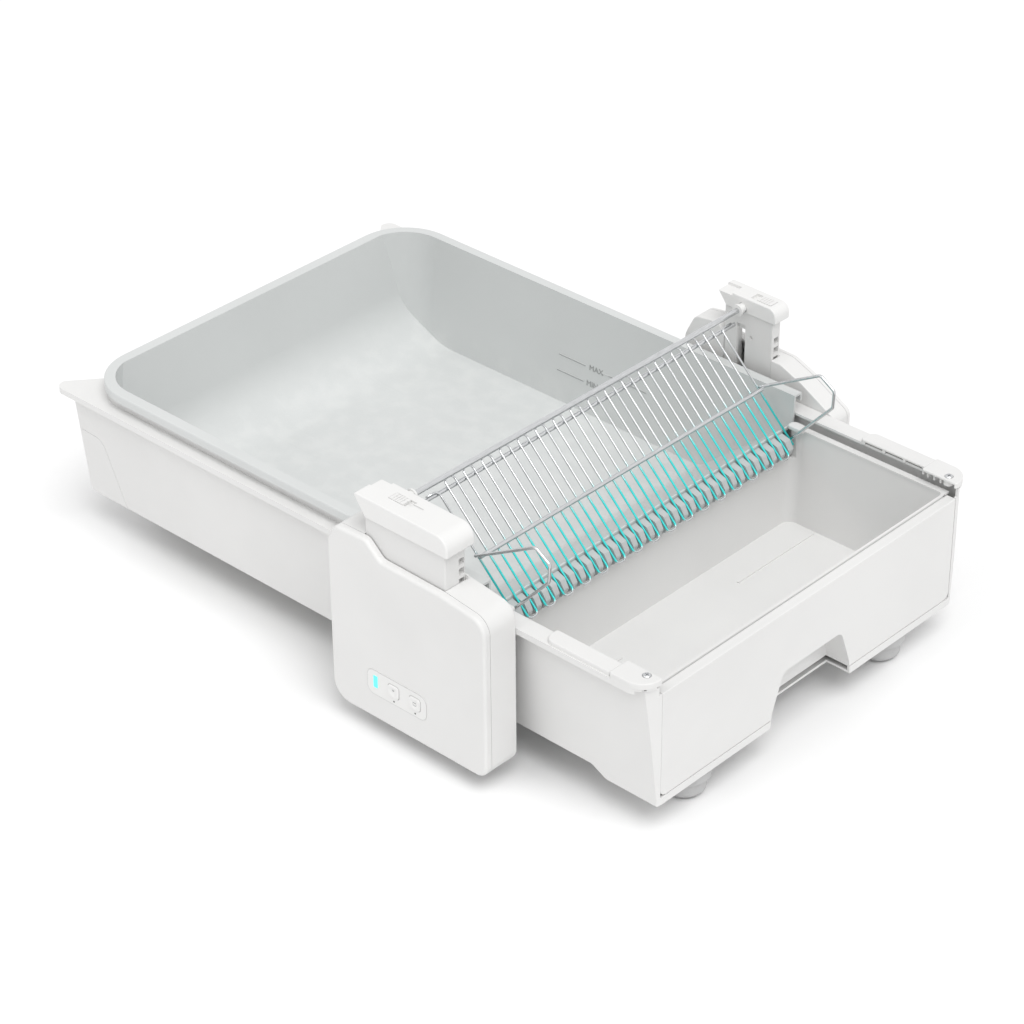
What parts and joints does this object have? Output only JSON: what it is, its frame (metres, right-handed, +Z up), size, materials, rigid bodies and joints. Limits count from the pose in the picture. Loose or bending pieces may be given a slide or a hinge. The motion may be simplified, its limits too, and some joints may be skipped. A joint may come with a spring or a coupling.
{
  "type": "self-cleaning drawer litter box",
  "caption": "Open cat litter tray whose motor gantry drags a hinged wire sieve up a ramp and tips clumps into a front waste drawer",
  "frame": {"origin": "centre of the bounding box at floor level", "axes": "+X towards the drawer front, +Y away from the control tower, +Z up"},
  "size_m": [0.735, 0.5123, 0.2446],
  "materials": {
    "body_white": "fine-textured moulded white polymer",
    "pan_grey": "satin light grey polymer",
    "comb_grey": "grey polymer",
    "rack_polymer": "natural acetal",
    "foot_rubber": "light grey rubber",
    "wire_steel": "polished stainless wire, lower half tinted",
    "sleeve_white": "light polymer bushings",
    "steel": "zinc-plated steel",
    "beam_grey": "glass-filled polymer",
    "panel_white": "smooth overlay",
    "light_cyan": "tinted light pipe",
    "board_green": "circuit board",
    "inlet_black": "black moulded inlet"
  },
  "bodies": {
    "base": {"base_tub": "body_white", "rear_cover": "body_white", "litter_pan": "pan_grey", "scraper_comb": "comb_grey", "near_corner_cap": "body_white", "far_corner_cap": "body_white", "corner_screws": "steel", "front_feet": "foot_rubber", "rear_feet": "foot_rubber", "near_travel_rack": "rack_polymer", "far_travel_rack": "rack_polymer"},
    "drawer": {"waste_bin": "body_white", "drawer_front": "body_white", "drawer_screws": "steel"},
    "gantry": {"near_tower_shell": "body_white", "near_tower_cover": "body_white", "control_panel": "panel_white", "led_light_pipe": "light_cyan", "control_board": "board_green", "power_inlet": "inlet_black", "far_tower_shell": "body_white", "far_tower_cover": "body_white", "far_tower_screws": "steel", "yoke_beam": "beam_grey", "yoke_screws": "steel", "travel_motor": "steel", "near_lift_gearbox": "comb_grey", "far_lift_gearbox": "comb_grey", "near_glide_shoes": "comb_grey", "far_glide_shoes": "comb_grey"},
    "lift": {"near_column": "body_white", "near_cap": "body_white", "far_column": "body_white", "far_cap": "body_white"},
    "sieve": {"sieve_tines": "wire_steel", "sieve_crossbar": "wire_steel", "lower_rod": "wire_steel", "pivot_rod": "wire_steel", "rod_sleeves": "sleeve_white", "near_side_guard": "wire_steel", "far_side_guard": "wire_steel"},
    "cross_shaft": {"cross_shaft": "steel", "travel_pinions": "rack_polymer"},
    "motor_rotor": {"motor_pinion": "rack_polymer"},
    "near_lift_wheel": {"near_lift_pinion": "rack_polymer"},
    "far_lift_wheel": {"far_lift_pinion": "rack_polymer"},
    "near_latch": {"near_cap_latch": "body_white"},
    "far_latch": {"far_cap_latch": "body_white"},
    "clean_button": {"button_clean": "panel_white"},
    "power_button": {"button_power": "panel_white"}
  },
  "joints": [
    {"name": "gantry_travel", "type": "slide", "parent": "base", "child": "gantry", "axis": [1, 0, 0], "range_m": [-0.38, 0]},
    {"name": "lift_drop", "type": "slide", "parent": "gantry", "child": "lift", "axis": [0, 0, 1], "range_m": [-0.0161, 0]},
    {"name": "sieve_swing", "type": "hinge", "parent": "lift", "child": "sieve", "pos_m": [0.0995, 0.00735, 0.233], "axis": [0, -1, 0], "range_deg": [0, 50]},
    {"name": "cross_shaft_spin", "type": "hinge", "parent": "gantry", "child": "cross_shaft", "pos_m": [0.1385, 0.00735, 0.0295], "axis": [0, -1, 0], "range_deg": [-3640, 0]},
    {"name": "motor_spin", "type": "hinge", "parent": "gantry", "child": "motor_rotor", "pos_m": [0.13001, -0.22465, 0.03798], "axis": [0, -1, 0], "range_deg": [0, 3640]},
    {"name": "near_lift_spin", "type": "hinge", "parent": "gantry", "child": "near_lift_wheel", "pos_m": [0.18155, -0.22665, 0.168], "axis": [0, 1, 0], "range_deg": [-97, 0]},
    {"name": "far_lift_spin", "type": "hinge", "parent": "gantry", "child": "far_lift_wheel", "pos_m": [0.14255, 0.23735, 0.168], "axis": [0, 1, 0], "range_deg": [-97, 0]},
    {"name": "drawer_slide", "type": "slide", "parent": "base", "child": "drawer", "axis": [1, 0, 0], "range_m": [0, 0.25]},
    {"name": "clean_press", "type": "slide", "parent": "gantry", "child": "clean_button", "axis": [0, 1, 0], "range_m": [0, 0.0012], "stiffness_N_per_m": 900},
    {"name": "power_press", "type": "slide", "parent": "gantry", "child": "power_button", "axis": [0, 1, 0], "range_m": [0, 0.0012], "stiffness_N_per_m": 900},
    {"name": "near_latch_slide", "type": "slide", "parent": "lift", "child": "near_latch", "axis": [1, 0, 0], "range_m": [0, 0.0065]},
    {"name": "far_latch_slide", "type": "slide", "parent": "lift", "child": "far_latch", "axis": [-1, 0, 0], "range_m": [0, 0.0065]}
  ],
  "couplings": [
    {"joint": "lift_drop", "follows": "gantry_travel", "ratio": 0.0421},
    {"joint": "cross_shaft_spin", "follows": "gantry_travel", "rad_per_m": 166.67},
    {"joint": "motor_spin", "follows": "gantry_travel", "rad_per_m": -166.67},
    {"joint": "near_lift_spin", "follows": "gantry_travel", "rad_per_m": 4.4087},
    {"joint": "far_lift_spin", "follows": "gantry_travel", "rad_per_m": 4.4087}
  ]
}
